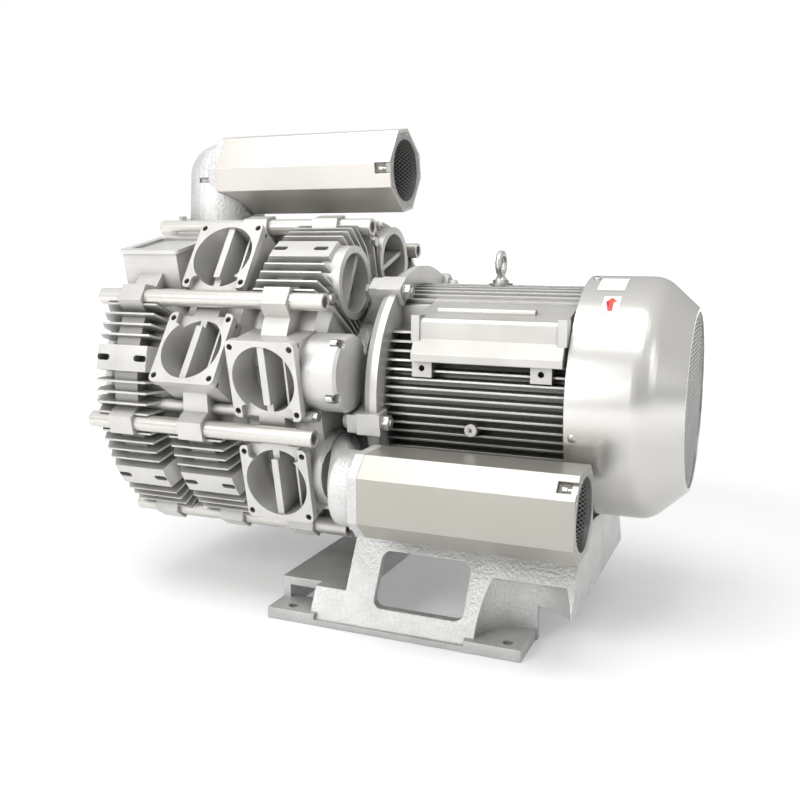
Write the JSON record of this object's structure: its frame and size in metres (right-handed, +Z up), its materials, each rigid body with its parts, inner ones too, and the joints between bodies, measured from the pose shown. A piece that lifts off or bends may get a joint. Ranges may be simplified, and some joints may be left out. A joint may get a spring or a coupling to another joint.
{
  "type": "vortex blower",
  "caption": "Multi-stage vortex blower with a finned ring-channel head, flanged side ports, a foot-mounted motor and octagonal silencers on a cast pedestal.",
  "frame": {"origin": "middle of the four foot bolt holes, on the floor", "axes": "+X along the shaft from the blower head to the fan cowl, -Y towards the front with the flanged ports, +Z up"},
  "size_m": [0.86, 0.5159, 0.6943],
  "materials": {
    "cast_aluminium": "satin silver paint over sand-cast aluminium",
    "rough_casting": "silver paint over a rough casting",
    "inner_casting": "plain as-cast aluminium",
    "satin_sheet": "smooth satin silver",
    "bright_steel": "zinc-plated or ground steel",
    "dark_steel": "dark steel",
    "copper_wire": "varnished copper winding",
    "black_plastic": "moulded black plastic",
    "seal_rubber": "seal rubber",
    "mineral_wool": "loose fibre"
  },
  "bodies": {
    "frame": {"pedestal": "rough_casting", "motor_frame": "cast_aluminium", "stator_core": "dark_steel", "stator_windings": "copper_wire", "drive_end_shield": "cast_aluminium", "fan_end_shield": "cast_aluminium", "drive_bearing_outer": "bright_steel", "fan_bearing_outer": "bright_steel", "head_bearing_outer": "bright_steel", "fan_cowl": "satin_sheet", "air_grille": "dark_steel", "cowl_screws": "bright_steel", "lifting_eye": "bright_steel", "drain_plug": "bright_steel", "terminal_box": "cast_aluminium", "terminal_lid": "cast_aluminium", "cable_gland": "black_plastic", "lid_screws": "bright_steel", "motor_foot_bolts": "bright_steel", "lantern": "rough_casting", "lantern_bolts": "bright_steel", "stage_1_casing": "cast_aluminium", "stage_2_casing": "cast_aluminium", "stage_3_casing": "cast_aluminium", "stage_1_cover": "inner_casting", "stage_2_cover": "inner_casting", "stage_3_cover": "inner_casting", "shaft_seals": "seal_rubber", "head_end_cover": "cast_aluminium", "head_bearing_cap": "cast_aluminium", "tie_tubes": "satin_sheet", "casing_bolts": "bright_steel", "blind_cap": "cast_aluminium", "blind_cap_screws": "bright_steel", "inlet_elbow": "rough_casting", "outlet_elbow": "rough_casting", "inlet_silencer_body": "satin_sheet", "outlet_silencer_body": "satin_sheet", "inlet_silencer_liner": "bright_steel", "outlet_silencer_liner": "bright_steel", "inlet_silencer_ring": "satin_sheet", "outlet_silencer_ring": "satin_sheet", "inlet_silencer_wool": "mineral_wool", "outlet_silencer_wool": "mineral_wool", "silencer_screws": "bright_steel", "elbow_bolts": "bright_steel"},
    "rotor": {"rotor_shaft": "bright_steel", "rotor_core": "dark_steel", "impeller_1": "inner_casting", "impeller_2": "inner_casting", "impeller_3": "inner_casting", "spacer_sleeves": "bright_steel", "impeller_nut": "dark_steel", "cooling_fan": "black_plastic", "drive_bearing_inner": "bright_steel", "fan_bearing_inner": "bright_steel", "head_bearing_inner": "bright_steel"},
    "bearing_cages": {"drive_bearing_balls": "bright_steel", "fan_bearing_balls": "bright_steel", "head_bearing_balls": "bright_steel"}
  },
  "joints": [
    {"name": "rotor_spin", "type": "hinge", "parent": "frame", "child": "rotor", "pos_m": [0, 0, 0.315], "axis": [1, 0, 0], "continuous": true},
    {"name": "cage_spin", "type": "hinge", "parent": "frame", "child": "bearing_cages", "pos_m": [0, 0, 0.315], "axis": [1, 0, 0], "continuous": true}
  ],
  "couplings": [
    {"joint": "cage_spin", "follows": "rotor_spin", "ratio": 0.394}
  ]
}
